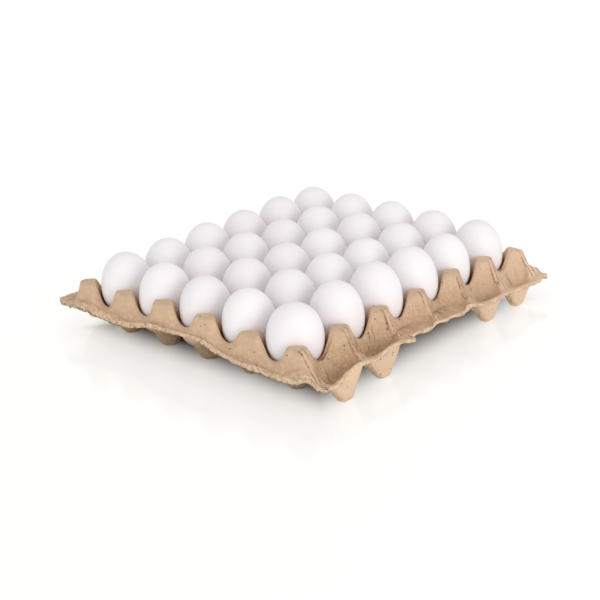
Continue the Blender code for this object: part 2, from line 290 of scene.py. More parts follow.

# Shares that rise softly, as the level where each begins, the level where it is full, and its top; the first
# two lay painted light on higher parts and towards +X, the band edge a line of painted shade
HIGH_PAINTED_LIGHT = (0.026, 0.044, 0.45)
PAINTED_LIGHT_ALONG_X = (0.02, 0.14, 0.80)
FOLD_LINE = (0.0007, 0.0001)
BAND_EDGE_SHADE = (0.56, 0.66, 0.35)
BAND_FULL = (0.66, 0.76)
BAND_WANDER = 0.34

# Specks, as cells per metre, the size of a dot in its cell, and the share of cells that have one
SPECK_CELLS = 150.0
SPECK_DOT = (0.12, 0.06)
SPECK_CHANCE = 0.75

# Relief of the finishes, as strength and depth
MARK_RELIEF = (0.9, -0.0012)
PIT_RELIEF = (0.9, -0.0014)
GRAIN_RELIEF = (0.80, 0.0009)
PORE_RELIEF = (0.10, 0.0002)
SWELL_RELIEF = (0.08, 0.0005)

# Gloss, as roughness and specular level
PULP_GLOSS = (0.92, 0.25)
SHELL_GLOSS = (0.48, 0.35)
FLOOR_GLOSS = (0.14, 0.50)

# Light inside the shells, and the tint of their cloudy parts
SUBSURFACE_SHARE = 0.12
SUBSURFACE_DEPTH = 0.004
SUBSURFACE_SPREAD = (1.0, 0.45, 0.35)
SHELL_WARMTH = (0.985, 0.955, 0.955)

# Shell colours: how many, how pink and how light they come out, and the pink's share in the blue
SHELL_KINDS = 5
SHELL_PINK = 0.014
SHELL_LIGHT = 0.015
PINK_IN_BLUE = 0.5
TINT_SEED = 8

# Camera, as its place, the way it looks, its lean and its lens
CAMERA_PLACE = (-0.7547, -0.7169, 0.4121)
CAMERA_HEADING = math.radians(48.01)
CAMERA_DIP = math.radians(20.72)
CAMERA_LEAN = math.radians(-2.64)
CAMERA_SENSOR = 36.0
CAMERA_LENS = 76.87
CAMERA_SHIFT_X = -0.0658
CAMERA_SHIFT_Y = -0.0144
CAMERA_NEAR = 0.01

# Floor: its size, and the half sides of the squares within which its glow is cut out, a painted shadow under
# the tray, and beyond which it glows in full
FLOOR_SIZE = 12.0
FLOOR_DROP = 0.0002
SHADOW_SQUARE_HALF = 0.104
SHADOW_FADE_HALF = 0.145
GLOW_COLOUR = (1.0, 1.0, 0.99)

# Lamps, as place, the point they are turned to, and width
KEY_PLACE = (-0.35, -1.55, 0.50)
KEY_TARGET = (0.0, 0.0, 0.03)
KEY_SIZE = 0.8
FILL_PLACE = (-1.40, 0.05, 0.60)
FILL_TARGET = (0.0, 0.0, 0.04)
FILL_SIZE = 1.0
FILL_COLOUR = (1.0, 0.985, 0.975)


class TraySizes(bpy.types.PropertyGroup):
    pitch_x: FloatProperty(name="Pitch along X", description="Distance between cups in a row of six",
                           default=0.0470, unit="LENGTH")
    pitch_y: FloatProperty(name="Pitch along Y", description="Distance between cups in a row of five",
                           default=0.0483, unit="LENGTH")
    rim_thickness: FloatProperty(name="Rim thickness", description="Height of the edge along the two sides",
                                 default=0.0030, unit="LENGTH")
    lumps: FloatProperty(name="Lumps", description="Depth of the broad unevenness of the pulp",
                         default=0.0006, unit="LENGTH")
    fibres: FloatProperty(name="Fibres", description="Depth of the fine relief of the pulp",
                          default=0.0004, unit="LENGTH")
    ragged: FloatProperty(name="Raggedness", description="How far the torn edge strays",
                          default=0.0015, unit="LENGTH")


class EggSizes(bpy.types.PropertyGroup):
    radius: FloatProperty(name="Egg radius", description="Half the width of an average egg",
                          default=0.0222, unit="LENGTH")
    above: FloatProperty(name="Above", description="Height of the pointed end above the widest ring",
                         default=0.0307, unit="LENGTH")
    below: FloatProperty(name="Below", description="Depth of the blunt end below the widest ring",
                         default=0.0284, unit="LENGTH")
    widest: FloatProperty(name="Widest ring", description="Height of the widest ring above the floor",
                          default=0.0400, unit="LENGTH")
    tilt: FloatProperty(name="Tilt", description="How far an egg may lean in its cup",
                        default=math.radians(2.0), subtype="ANGLE")
    segments: IntProperty(name="Segments", description="Faces round an egg", default=56)
    rings: IntProperty(name="Rings", description="Bands of faces from end to end", default=40)


class Finishes(bpy.types.PropertyGroup):
    pulp: FloatVectorProperty(name="Pulp", description="Main colour of the pulp", subtype="COLOR",
                              size=3, default=(0.615, 0.412, 0.262))
    # pale pulp: the real loose fibres, and painted light on higher parts, towards +X and on the outer faces
    # of the half cups
    pulp_pale_and_lit: FloatVectorProperty(name="Pale pulp", description="Colour of worn ridges and loose fibres",
                                   subtype="COLOR", size=3, default=(0.77, 0.562, 0.392))
    # dark pulp: the real mottled patches, and also painted shade on undersides, post caps and the lip band
    pulp_dark_and_shade: FloatVectorProperty(name="Dark pulp", description="Colour of damp patches and hollows",
                                   subtype="COLOR", size=3, default=(0.46, 0.30, 0.19))
    # deep pulp: painted shade, dark and reddish, beside the eggs, in folds and creases and along the lip
    # band
    pulp_deep_shade: FloatVectorProperty(name="Deep pulp", description="Colour of the pulp beside the eggs",
                                   subtype="COLOR", size=3, default=(0.42, 0.20, 0.11))
    # olive: the real crumbled pulp of the feet's sides, darkened as painted shade on sides facing -X and on
    # feet shut in under the tray
    pulp_olive_and_shade: FloatVectorProperty(name="Pits", description="Colour of the crumbled sides of the feet",
                                    subtype="COLOR", size=3, default=(0.30, 0.21, 0.12))
    torn: FloatVectorProperty(name="Torn edge", description="Colour of the torn edge", subtype="COLOR",
                              size=3, default=(0.78, 0.575, 0.395))
    speck: FloatVectorProperty(name="Specks", description="Colour of the dark specks", subtype="COLOR",
                               size=3, default=(0.10, 0.05, 0.03))
    shell: FloatVectorProperty(name="Shell", description="Main colour of the eggs", subtype="COLOR",
                               size=3, default=(0.885, 0.862, 0.872))


class StageLook(bpy.types.PropertyGroup):
    floor: FloatVectorProperty(name="Floor", description="Colour of the floor", subtype="COLOR",
                               size=3, default=(0.40, 0.40, 0.39))
    ambient: FloatProperty(name="Ambient", description="Strength of the even light all round", default=0.82)
    key: FloatProperty(name="Key light", description="Power of the main lamp in watts", default=7.6)
    fill: FloatProperty(name="Fill light", description="Power of the weak lamp on the left in watts",
                        default=1.9)
    glow: FloatProperty(name="Glow", description="Light that comes up through the white floor", default=0.58)


def smooth_step(value):
    t = np.clip(value, 0.0, 1.0)
    return t * t * (3.0 - 2.0 * t)


def curve_through(points):
    """A smooth curve through points that neither overshoots nor dips between them."""
    xs = np.array([p[0] for p in points])
    ys = np.array([p[1] for p in points])
    steps = np.diff(xs)
    rises = np.diff(ys) / steps
    slopes = np.zeros(len(xs))
    for i in range(1, len(xs) - 1):
        if rises[i - 1] * rises[i] > 0.0:
            slopes[i] = 2.0 * rises[i - 1] * rises[i] / (rises[i - 1] + rises[i])
    def read(x):
        x = np.clip(x, xs[0], xs[-1])
        k = np.clip(np.searchsorted(xs, x) - 1, 0, len(steps) - 1)
        t = (x - xs[k]) / steps[k]
        a = ys[k] * (1 + 2 * t) * (1 - t) ** 2
        b = ys[k + 1] * t * t * (3 - 2 * t)
        c = slopes[k] * steps[k] * t * (1 - t) ** 2
        d = slopes[k + 1] * steps[k] * t * t * (t - 1)
        return a + b + c + d
    return read


def softer_lowest(a, b, reach):
    """The lower of two heights, with the edge between them rounded over a reach."""
    blend = np.clip(0.5 + 0.5 * (b - a) / reach, 0.0, 1.0)
    return b + (a - b) * blend - reach * blend * (1.0 - blend)


def octagon_distance(x, y):
    """Distance from the axis of an octagon with slightly rounded corners."""
    total = 0.0
    for turn in range(4):
        angle = turn * math.pi / 4
        total = total + np.abs(x * math.cos(angle) + y * math.sin(angle)) ** OCTAGON_POWER
    return total ** (1.0 / OCTAGON_POWER)


def foot_distance(x, y):
    """Distance from a cup's axis, along facets near the foot and along circles above."""
    distance = np.hypot(x, y)
    faceted = smooth_step((FOOT_FACETS - distance) / ROUND_ABOVE)
    return distance + (octagon_distance(x, y) - distance) * faceted


class TrayForm:
    """Heights of the tray's two surfaces, worked out from the sizes."""

    def __init__(self, sizes):
        self.pitch_x = sizes.pitch_x
        self.pitch_y = sizes.pitch_y
        self.wall = curve_through(CUP_WALL)
        self.flap = curve_through(FLAP_WALL)
        self.end_lip = curve_through(END_LIP_HEIGHTS)
        self.end_depth = curve_through(END_LIP_DEPTHS)
        self.side_rim = curve_through(SIDE_RIM_HEIGHTS)
        self.far_rim = curve_through(FAR_RIM_HEIGHTS)

    def post_top(self, v, u):
        """Height of the post nearest to a point."""
        post_v = np.clip(np.rint(v), 0, CELLS_X).astype(int)
        post_u = np.clip(np.rint(u), 0, CELLS_Y).astype(int)
        end = np.array(END_POSTS)
        side = np.array(SIDE_POSTS)
        top = np.full(np.shape(v), POST_TOP)
        top = np.where(post_u == CELLS_Y, side[CELLS_X - post_v], top)
        top = np.where(post_v == CELLS_X, end[CELLS_Y - post_u], top)
        top = np.where(post_u == 0, side[post_v], top)
        return np.where(post_v == 0, end[post_u], top)

    def set_post(self, height, v, u):
        """Stretches what stands above the saddles to the height of the nearest post."""
        share = (self.post_top(v, u) - SADDLE) / (POST_TOP - SADDLE)
        risen = np.minimum((height - SADDLE) * POST_STRETCH, POST_TOP - SADDLE)
        return np.where(height > SADDLE, SADDLE + risen * share, height)

    def cup(self, v, u):
        col = np.clip(np.floor(v), 0, CELLS_X - 1).astype(int)
        row = np.clip(np.floor(u), 0, CELLS_Y - 1).astype(int)
        across = (v - col - 0.5) * self.pitch_x
        along = (u - row - 0.5) * self.pitch_y
        near_end = (col == 0) & (across < 0)
        far_end = (col == CELLS_X - 1) & (across > 0)
        near_side = (row == 0) & (along < 0)
        far_side = (row == CELLS_Y - 1) & (along > 0)
        off_end = self.pitch_x / 2 - np.abs(across)
        off_side = self.pitch_y / 2 - np.abs(along)
        across = np.minimum(np.abs(across), self.pitch_x / 2 - RIB_HALF)
        along = np.minimum(np.abs(along), self.pitch_y / 2 - RIB_HALF)
        distance = foot_distance(across, along)
        plain = self.wall(distance)
        seat = SEAT_RISE * smooth_step(1.0 - np.abs(distance - SEAT_RADIUS) / SEAT_REACH)
        height = self.set_post(plain, v, u) + seat
        end = np.array(END_SADDLES) - SADDLE
        side = np.array(SIDE_SADDLES) - SADDLE
        end_rise = np.where(near_end, end[row], np.where(far_end, end[CELLS_Y - 1 - row], 0.0))
        side_rise = np.where(near_side, side[col], np.where(far_side, side[CELLS_X - 1 - col], 0.0))
        on_end = smooth_step(1.0 - off_end / RIB_HALF)
        on_side = smooth_step(1.0 - off_side / RIB_HALF)
        rise = end_rise * on_end + side_rise * on_side
        return height + rise * np.clip((POST_TOP - plain) / (POST_TOP - SADDLE), 0.0, 1.0)

    def half_cup(self, v, u, out):
        near = u < CELLS_Y / 2
        col = np.clip(np.floor(v), 0, CELLS_X - 1).astype(int)
        table = np.array(HALF_CUPS)
        shift = np.where(near, table[col, 0], FAR_HALF_CUP[0]) * smooth_step(out / SHIFT_FULL)
        axis = np.where(near, table[col, 1], FAR_HALF_CUP[1])
        part = v - col
        left = 0.5 * part / (0.5 + shift)
        right = 0.5 + 0.5 * (part - 0.5 - shift) / (0.5 - shift)
        across = (np.where(part < 0.5 + shift, left, right) - 0.5) * self.pitch_x
        across = np.minimum(np.abs(across), self.pitch_x / 2 - RIB_HALF)
        reach = self.pitch_y / 2 - RIB_HALF
        inward = np.clip((axis - out) / (axis - HALF_CUP_INNER), 0.0, 1.0) * reach
        outward = np.clip((out - axis) / (HALF_CUP_OUTER - axis), 0.0, 1.0) * reach
        inner = self.wall(foot_distance(across, inward))
        outer = self.flap(octagon_distance(across, outward))
        cup = inner + (outer - inner) * smooth_step((out - axis) / FLAP_BLEND + 1.0)
        cup = np.where(near, cup, np.maximum(cup, FAR_FLOOR))
        in_gap = (v > GAP_CUP_FROM) & (v < GAP_TO) & (out > GAP_INNER)
        cup = np.where(in_gap, np.maximum(cup, GAP_FLOOR), cup)
        cup = self.set_post(cup, v, u)
        rim = np.where(near, self.side_rim(v), self.far_rim(v))
        drop = np.clip((out - RIB_TOP_END) / (RIB_FOOT - RIB_TOP_END), 0.0, 1.0)
        top = self.post_top(v, u)
        return softer_lowest(cup, top + (rim - top) * drop, RIB_SOFT)

    def upper(self, x, y):
        v = x / self.pitch_x + CELLS_X / 2
        u = y / self.pitch_y + CELLS_Y / 2
        beyond_side = np.maximum(-u, u - CELLS_Y)
        beyond_end = np.maximum(-v, v - CELLS_X)
        inside_v = np.clip(v, -END_FACE_TOP, CELLS_X + END_FACE_TOP)
        height = np.where(beyond_side > 0, self.half_cup(inside_v, u, beyond_side), self.cup(inside_v, u))
        along = np.where(v < CELLS_X / 2, u, CELLS_Y - u)
        run_out = FAR_LIP_DROP * smooth_step((along - FAR_DROP_FROM) / FAR_DROP_LENGTH)
        lip = self.end_lip(along) - np.where(v < CELLS_X / 2, 0.0, run_out)
        dip = smooth_step((along - GUTTER_FROM) / GUTTER_FADE)
        dip = dip * smooth_step((GUTTER_TO - along) / GUTTER_FADE)
        past_foot = np.clip((beyond_end - END_FACE_FOOT) / (END_LIP - END_FACE_FOOT), 0.0, 1.0)
        foot = lip - GUTTER * dip * (1.0 - past_foot)
        drop = np.clip((beyond_end - END_FACE_TOP) / (END_FACE_FOOT - END_FACE_TOP), 0.0, 1.0)
        return height + (np.minimum(foot, height) - height) * drop

    def lower(self, x, y):
        """The underside, a thickness of pulp away from the upper surface everywhere."""
        lowest = self.upper(x, y) - PULP
        for share in UNDERSIDE_RINGS:
            sink = PULP * math.sqrt(1.0 - share * share)
            for step in range(UNDERSIDE_STEPS):
                angle = step * math.tau / UNDERSIDE_STEPS
                near = self.upper(x + PULP * share * math.cos(angle), y + PULP * share * math.sin(angle))
                lowest = np.minimum(lowest, near - sink)
        return lowest


def side_rim_reach(v):
    """How far out the side edge comes, in cells, along the tray."""
    corner = CORNER_REACH * smooth_step((CORNER_REACH_FROM - v) / CORNER_REACH_LENGTH)
    reach = SIDE_RIM + RIM_WAVE * np.sin(RIM_WAVE_RATE * v) + corner
    first = np.interp(v, (GAP_FROM, GAP_MIDDLE), GAP_FIRST_RIM)
    second = np.interp(v, (GAP_MIDDLE, GAP_TO), GAP_SECOND_RIM)
    reach = np.where((v > GAP_FROM) & (v < GAP_MIDDLE), first, reach)
    return np.where((v >= GAP_MIDDLE) & (v < GAP_TO), second, reach)


def sheet_lines(cells, margin):
    """Grid lines across the tray, closer together on the posts than on the cup floors."""
    half = np.array(CELL_LINES)
    cell = np.concatenate([half, [0.5], 1.0 - half[:0:-1]])
    inside = np.concatenate([cell + i for i in range(cells)] + [[float(cells)]])
    return np.concatenate([-margin[::-1], inside, cells + margin])


def stretch_margin(line, cells, last, reach):
    out = np.maximum(-line, line - cells)
    moved = out * reach / last
    placed = np.where(line < 0.0, -moved, cells + moved)
    return np.where(out > 0.0, placed, line)


def sheet_places(sizes):
    """x and y of every point of the tray's sheet, as two grids, and the grid's lines along Y."""
    lines_v = sheet_lines(CELLS_X, np.array(END_LINES))
    lines_u = sheet_lines(CELLS_Y, SIDE_RIM * np.arange(1, SIDE_MARGIN_LINES + 1) / SIDE_MARGIN_LINES)
    v, u = np.meshgrid(lines_v, lines_u)
    lip_reach = END_LIP + RIM_WAVE * np.sin(LIP_WAVE_RATE * u + LIP_WAVE_START)
    placed_v = stretch_margin(v, CELLS_X, END_LIP, lip_reach)
    placed_u = stretch_margin(u, CELLS_Y, SIDE_RIM, side_rim_reach(v))
    out_v = np.maximum(-v, v - CELLS_X) / END_LIP
    from_corner = np.where(v < 0.0, u, CELLS_Y - u)
    near_corner = np.clip((CORNER_FROM - from_corner) / (CORNER_FROM + SIDE_RIM), 0.0, 1.0) ** 2
    pull = CORNER_PULL * near_corner * np.clip(out_v, 0.0, 1.0)
    x = (placed_v + np.where(v < 0.0, pull, -pull) - CELLS_X / 2) * sizes.pitch_x
    y = (placed_u - CELLS_Y / 2) * sizes.pitch_y
    return x, y, lines_u


def deselect_all():
    if bpy.context.object and bpy.context.object.mode != "OBJECT":
        bpy.ops.object.mode_set(mode="OBJECT")
    bpy.ops.object.select_all(action="DESELECT")


def make_active(obj):
    deselect_all()
    obj.select_set(True)
    bpy.context.view_layer.objects.active = obj


def apply_modifier(obj, kind, **settings):
    make_active(obj)
    added = obj.modifiers.new(kind.title(), kind)
    for key, value in settings.items():
        setattr(added, key, value)
    bpy.ops.object.modifier_apply(modifier=added.name)


def points_of(obj):
    places = np.empty(len(obj.data.vertices) * 3)
    obj.data.vertices.foreach_get("co", places)
    return places.reshape(-1, 3)


def place_points(obj, places):
    obj.data.vertices.foreach_set("co", np.ascontiguousarray(places).ravel())
    obj.data.update()


def store_values(obj, name, values):
    layer = obj.data.attributes.new(name, "FLOAT", "POINT")
    layer.data.foreach_set("value", np.ascontiguousarray(values))


def stored_values(obj, name):
    values = np.empty(len(obj.data.vertices))
    obj.data.attributes[name].data.foreach_get("value", values)
    return values


def cloud_texture(name, size, depth):
    texture = bpy.data.textures.new(name, "CLOUDS")
    texture.noise_scale = size
    texture.noise_depth = depth
    return texture


def weight_group(obj, name, weights):
    group = obj.vertex_groups.new(name=name)
    for index in np.nonzero(weights > LEAST_WEIGHT)[0]:
        group.add([int(index)], float(weights[index]), "REPLACE")


def cells_of(places, sizes):
    """Where points stand along the two directions of the tray, in cells."""
    v = places[:, 0] / sizes.pitch_x + CELLS_X / 2
    u = places[:, 1] / sizes.pitch_y + CELLS_Y / 2
    return v, u


def folds_and_creases(places, sizes):
    """Shares of fold line and of crease at each point outside the last posts of the side edges."""
    v, u = cells_of(places, sizes)
    out = np.maximum(-u, u - CELLS_Y)
    folds = smooth_step((out - FOLD_FROM) / FOLD_START) * smooth_step((FOLD_TO - out) / FOLD_END)
    from_middle = np.abs(v - np.floor(v) - 0.5)
    creases = smooth_step(1.0 - np.abs(out - CREASE_OUT) / CREASE_REACH)
    return folds, creases * smooth_step((CREASE_WIDTH - from_middle) / CREASE_FADE)


def inside_cups(places, sizes):
    """How much painted shade each point of the sheet gets where it is shut in beside an egg, from 0 to 1."""
    v, u = cells_of(places, sizes)
    across = (v - np.clip(np.floor(v), 0, CELLS_X - 1) - 0.5) * sizes.pitch_x
    along = (u - np.clip(np.floor(u), 0, CELLS_Y - 1) - 0.5) * sizes.pitch_y
    near_axis = smooth_step((DEEP_WITHIN - np.hypot(across, along)) / DEEP_FADE)
    return near_axis * smooth_step((DEEP_BELOW - places[:, 2]) / DEEP_DEPTH)


def close_sheet(tray, count, lower_heights):
    """Doubles the sheet of count points, lowers the second one and joins the two edges."""
    bpy.ops.object.mode_set(mode="EDIT")
    bpy.ops.mesh.select_all(action="SELECT")
    bpy.ops.mesh.duplicate()
    bpy.ops.mesh.flip_normals()
    bpy.ops.object.mode_set(mode="OBJECT")
    places = points_of(tray)
    places[count:, 2] = lower_heights
    place_points(tray, places)

    bpy.ops.object.mode_set(mode="EDIT")
    bpy.ops.mesh.select_mode(type="EDGE")
    bpy.ops.mesh.select_all(action="DESELECT")
    bpy.ops.mesh.select_non_manifold()
    bpy.ops.mesh.bridge_edge_loops(number_cuts=EDGE_BANDS, interpolation="LINEAR")
    bpy.ops.mesh.select_all(action="SELECT")
    bpy.ops.mesh.normals_make_consistent(inside=False)
    bpy.ops.mesh.select_all(action="DESELECT")
    bpy.ops.object.mode_set(mode="OBJECT")


def mark_edges(tray, count, near_edge, in_from_lip):
    """Stores how much each point belongs to the torn edge, to its fringe and to the band on the lips."""
    total = len(tray.data.vertices)
    rim = np.ones(total)
    rim[:count] = np.clip(1.0 - near_edge / FRAY_LINES, 0.0, 1.0)
    rim[count:2 * count] = rim[:count]
    fringe = np.full(total, FRINGE_SHARE)
    fringe[:count] = 0.0
    fringe[count:2 * count] = np.where(near_edge == 0, 1.0, 0.0)
    band = np.ones(total)
    band[:count] = np.clip(1.0 - in_from_lip / LIP_BAND, 0.0, 1.0)
    band[count:2 * count] = 0.0
    store_values(tray, "rim", rim)
    store_values(tray, "fringe", fringe)
    store_values(tray, "band", band)


def mark_finish(tray, count, form, sizes):
    """Stores where the pulp gets painted shade (undersides that look down, shut in feet, post caps, beside
    the eggs), where it is crumbled with painted shade, where its outer faces get painted light, and where it
    is folded or creased.
    """
    places = points_of(tray)
    normals = np.empty(len(places) * 3)
    tray.data.vertices.foreach_get("normal", normals)
    upper = np.zeros(len(places))
    upper[:count] = 1.0
    lower = 1.0 - upper
    last_post = sizes.pitch_y * CELLS_Y / 2
    within = smooth_step((last_post + SHUT_MARGIN - np.abs(places[:, 1])) / SHUT_MARGIN_FADE)
    shut_in = within * smooth_step((SHUT_BELOW - places[:, 2]) / SHUT_DEPTH)
    downward = -DOWN_GAIN * normals[2::3] - DOWN_FROM
    aside = (1.0 - within) * np.clip(-ASIDE_GAIN * normals[0::3] - ASIDE_FROM, 0.0, 1.0)
    # painted shade on undersides that look down and on the feet shut in under the tray
    store_values(tray, "under", lower * np.clip(downward + shut_in, 0.0, 1.0))
    # crumbled pulp, darkened with painted shade where sides look along -X or feet are shut in
    store_values(tray, "crumbled_and_shaded", lower * np.clip(SHUT_CRUMBLED * shut_in + aside, 0.0, 1.0))
    # painted light on the lit outer faces of the half cups
    store_values(tray, "outer", lower * (1.0 - within))
    # painted shade where the sheet is shut in beside the eggs
    store_values(tray, "deep", upper * inside_cups(places, sizes))
    # painted shade on the tops of the posts
    above_cap = places[:, 2] - form.post_top(*cells_of(places, sizes)) + CAP_DEPTH
    store_values(tray, "cap", upper * smooth_step(above_cap / CAP_FADE))
    folds, creases = folds_and_creases(places, sizes)
    store_values(tray, "fold", upper * folds)
    store_values(tray, "crease", upper * creases)


def model_sheet(sizes):
    """The tray as one closed sheet of pulp: two surfaces and the band between their edges."""
    form = TrayForm(sizes)
    x, y, lines_u = sheet_places(sizes)
    rows, cols = x.shape
    top = form.upper(x, y)
    bottom = form.lower(x, y)
    bottom[:, 0] = top[:, 0] - form.end_depth(lines_u)
    bottom[:, -1] = top[:, -1] - form.end_depth(CELLS_Y - lines_u)
    bottom[0, :] = top[0, :] - sizes.rim_thickness
    bottom[-1, :] = top[-1, :] - sizes.rim_thickness

    deselect_all()
    bpy.ops.mesh.primitive_grid_add(x_subdivisions=cols - 1, y_subdivisions=rows - 1, size=2.0)
    tray = bpy.context.object
    tray.name = "tray_pulp"
    tray.data.name = "tray_pulp"
    flat = points_of(tray)
    col = np.rint((flat[:, 0] + 1.0) / 2.0 * (cols - 1)).astype(int)
    row = np.rint((flat[:, 1] + 1.0) / 2.0 * (rows - 1)).astype(int)
    place_points(tray, np.column_stack([x[row, col], y[row, col], top[row, col]]))
    close_sheet(tray, len(flat), bottom[row, col])

    near_edge = np.minimum(np.minimum(row, rows - 1 - row), np.minimum(col, cols - 1 - col))
    in_from_lip = np.minimum(x[row, col] - x[row, 0], x[row, -1] - x[row, col])
    mark_edges(tray, len(flat), near_edge, in_from_lip)
    mark_finish(tray, len(flat), form, sizes)
    return tray


def roughen_sheet(tray, sizes):
    """Gives the sheet its uneven thickness, fibres and torn edge."""
    places = points_of(tray)
    weight_group(tray, "body", smooth_step((places[:, 2] - PLAIN_FOOT) / PLAIN_FADE))
    weight_group(tray, "torn", stored_values(tray, "rim"))
    weight_group(tray, "fringe", stored_values(tray, "fringe"))
    lumps = cloud_texture("pulp_lumps", LUMP_SIZE, 1)
    fibres = cloud_texture("pulp_fibres", FIBRE_SIZE, 2)
    tears = cloud_texture("torn_edge", TEAR_SIZE, 3)
    tears.noise_type = "HARD_NOISE"
    flakes = cloud_texture("torn_flakes", FLAKE_SIZE, 4)
    common = {"texture_coords": "LOCAL", "mid_level": 0.5}
    apply_modifier(tray, "DISPLACE", texture=lumps, strength=sizes.lumps, vertex_group="body", **common)
    apply_modifier(tray, "DISPLACE", texture=fibres, strength=sizes.fibres, vertex_group="body", **common)
    apply_modifier(tray, "DISPLACE", texture=tears, strength=sizes.ragged, vertex_group="torn", **common)
    apply_modifier(tray, "DISPLACE", texture=flakes, strength=sizes.ragged, vertex_group="fringe",
                   direction="Z", **common)
    places = points_of(tray)
    places[:, 0] = np.clip(places[:, 0], MODEL_LOW[0], MODEL_HIGH[0])
    places[:, 1] = np.clip(places[:, 1], MODEL_LOW[1], MODEL_HIGH[1])
    places[:, 2] = np.maximum(places[:, 2], 0.0)
    place_points(tray, places)
    tray.vertex_groups.clear()
    tray.data.shade_smooth()


class FinishNodes:
    """A new material, and short ways to add and join its nodes."""

    def __init__(self, name):
        self.material = bpy.data.materials.new(name)
        self.material.use_nodes = True
        self.tree = self.material.node_tree
        self.shader = self.tree.nodes["Principled BSDF"]
        self.coords = self.add("TexCoord").outputs["Object"]

    def add(self, kind, **settings):
        made = self.tree.nodes.new("ShaderNode" + kind)
        for key, value in settings.items():
            setattr(made, key, value)
        return made

    def fill(self, socket, value):
        """Joins a socket to another one, or sets it to a number or a colour."""
        if isinstance(value, bpy.types.NodeSocket):
            self.tree.links.new(value, socket)
        elif socket.type == "RGBA":
            socket.default_value = (*value, 1.0)
        else:
            socket.default_value = value

    def maths(self, operation, *values):
        node = self.add("Math", operation=operation)
        for socket, value in zip(node.inputs, values):
            self.fill(socket, value)
        return node.outputs[0]

    def product(self, first, *others):
        for other in others:
            first = self.maths("MULTIPLY", first, other)
        return first

    def attribute(self, name):
        return self.add("Attribute", attribute_name=name).outputs["Fac"]

    def places(self):
        """The X, Y and Z of each point."""
        node = self.add("SeparateXYZ")
        self.fill(node.inputs[0], self.coords)
        return node.outputs

    def rising(self, value, low, high, top=1.0):
        """Runs softly from 0 at one level of a value to the top at another."""
        node = self.add("MapRange", interpolation_type="SMOOTHSTEP")
        self.fill(node.inputs["Value"], value)
        self.fill(node.inputs["From Min"], low)
        self.fill(node.inputs["From Max"], high)
        self.fill(node.inputs["To Max"], top)
        return node.outputs["Result"]

    def noise(self, scale, low, high, detail=3.0, stretch=None):
        """Noise that runs from 0 to 1 between two levels, in cycles per metre."""
        source = self.coords
        if stretch:
            mapping = self.add("Mapping")
            mapping.inputs["Scale"].default_value = stretch
            self.fill(mapping.inputs["Vector"], source)
            source = mapping.outputs["Vector"]
        noise = self.add("TexNoise")
        self.fill(noise.inputs["Scale"], scale)
        self.fill(noise.inputs["Detail"], detail)
        self.fill(noise.inputs["Vector"], source)
        ramp = self.add("MapRange")
        self.fill(ramp.inputs["From Min"], low)
        self.fill(ramp.inputs["From Max"], high)
        self.fill(ramp.inputs["Value"], noise.outputs["Fac"])
        return ramp.outputs["Result"]

    def mix(self, factor, first, second):
        """Mixes two colours by a factor."""
        mixer = self.add("Mix", data_type="RGBA")
        self.fill(mixer.inputs["Factor"], factor)
        self.fill(mixer.inputs[6], first)
        self.fill(mixer.inputs[7], second)
        return mixer.outputs[2]

    def bump(self, height, strength, distance, below=None):
        """A normal with the relief of a height, on top of another normal."""
        node = self.add("Bump")
        self.fill(node.inputs["Strength"], strength)
        self.fill(node.inputs["Distance"], distance)
        self.fill(node.inputs["Height"], height)
        if below is not None:
            self.fill(node.inputs["Normal"], below)
        return node.outputs["Normal"]

    def surface(self, colour, gloss, normal=None):
        """Gives the shader its colour, its roughness and specular level, and its relief."""
        self.fill(self.shader.inputs["Base Color"], colour)
        self.fill(self.shader.inputs["Roughness"], gloss[0])
        self.fill(self.shader.inputs["Specular IOR Level"], gloss[1])
        if normal is not None:
            self.fill(self.shader.inputs["Normal"], normal)


def pulp_colours(make, finish, crumbled_and_shaded):
    """Patches and fibres, painted shade on undersides, post caps, crumbled sides and beside the eggs, and
    painted light on higher parts, towards +X and on the outer faces.
    """
    patches = make.noise(*PATCHES)
    fibres = make.noise(*FIBRES)
    place = make.places()
    base = make.mix(make.product(patches, PATCH_SHARE), finish.pulp, finish.pulp_dark_and_shade)
    base = make.mix(make.product(fibres, FIBRE_SHARE), base, finish.pulp_pale_and_lit)
    # painted shade on the undersides
    base = make.mix(make.product(make.attribute("under"), UNDER_SHADE_SHARE), base, finish.pulp_dark_and_shade)
    # painted shade on the post tops
    base = make.mix(make.product(make.attribute("cap"), CAP_SHADE_SHARE), base, finish.pulp_dark_and_shade)
    # crumbled sides: real pitting, darkened with painted shade
    base = make.mix(make.product(crumbled_and_shaded, PIT_AND_SHADE_SHARE), base, finish.pulp_olive_and_shade)
    # painted light: higher parts paler
    base = make.mix(make.rising(place["Z"], *HIGH_PAINTED_LIGHT), base, finish.pulp_pale_and_lit)
    # painted light: paler towards +X, as the light falls from the right
    base = make.mix(make.rising(place["X"], *PAINTED_LIGHT_ALONG_X), base, finish.pulp_pale_and_lit)
    # painted light on the outer faces of the half cups
    base = make.mix(make.product(make.attribute("outer"), OUTER_LIGHT_SHARE), base, finish.pulp_pale_and_lit)
    # painted shade beside the eggs
    return make.mix(make.attribute("deep"), base, finish.pulp_deep_shade)


def fold_marks(make, pitch):
    """Masks of the fold lines on both sides of each side rib and of the creases in the half cups, sunk by a
    bump and darkened with painted shade.
    """
    from_rib = make.maths("PINGPONG", make.places()["X"], pitch / 2)
    off_line = make.maths("ABSOLUTE", make.maths("SUBTRACT", from_rib, RIB_HALF))
    line = make.rising(off_line, *FOLD_LINE)
    broken = make.noise(*BREAKS)
    fold = make.product(line, make.attribute("fold"), broken)
    streaks = make.noise(*STREAKS)
    crease = make.product(streaks, make.attribute("crease"))
    return make.maths("MAXIMUM", fold, crease)


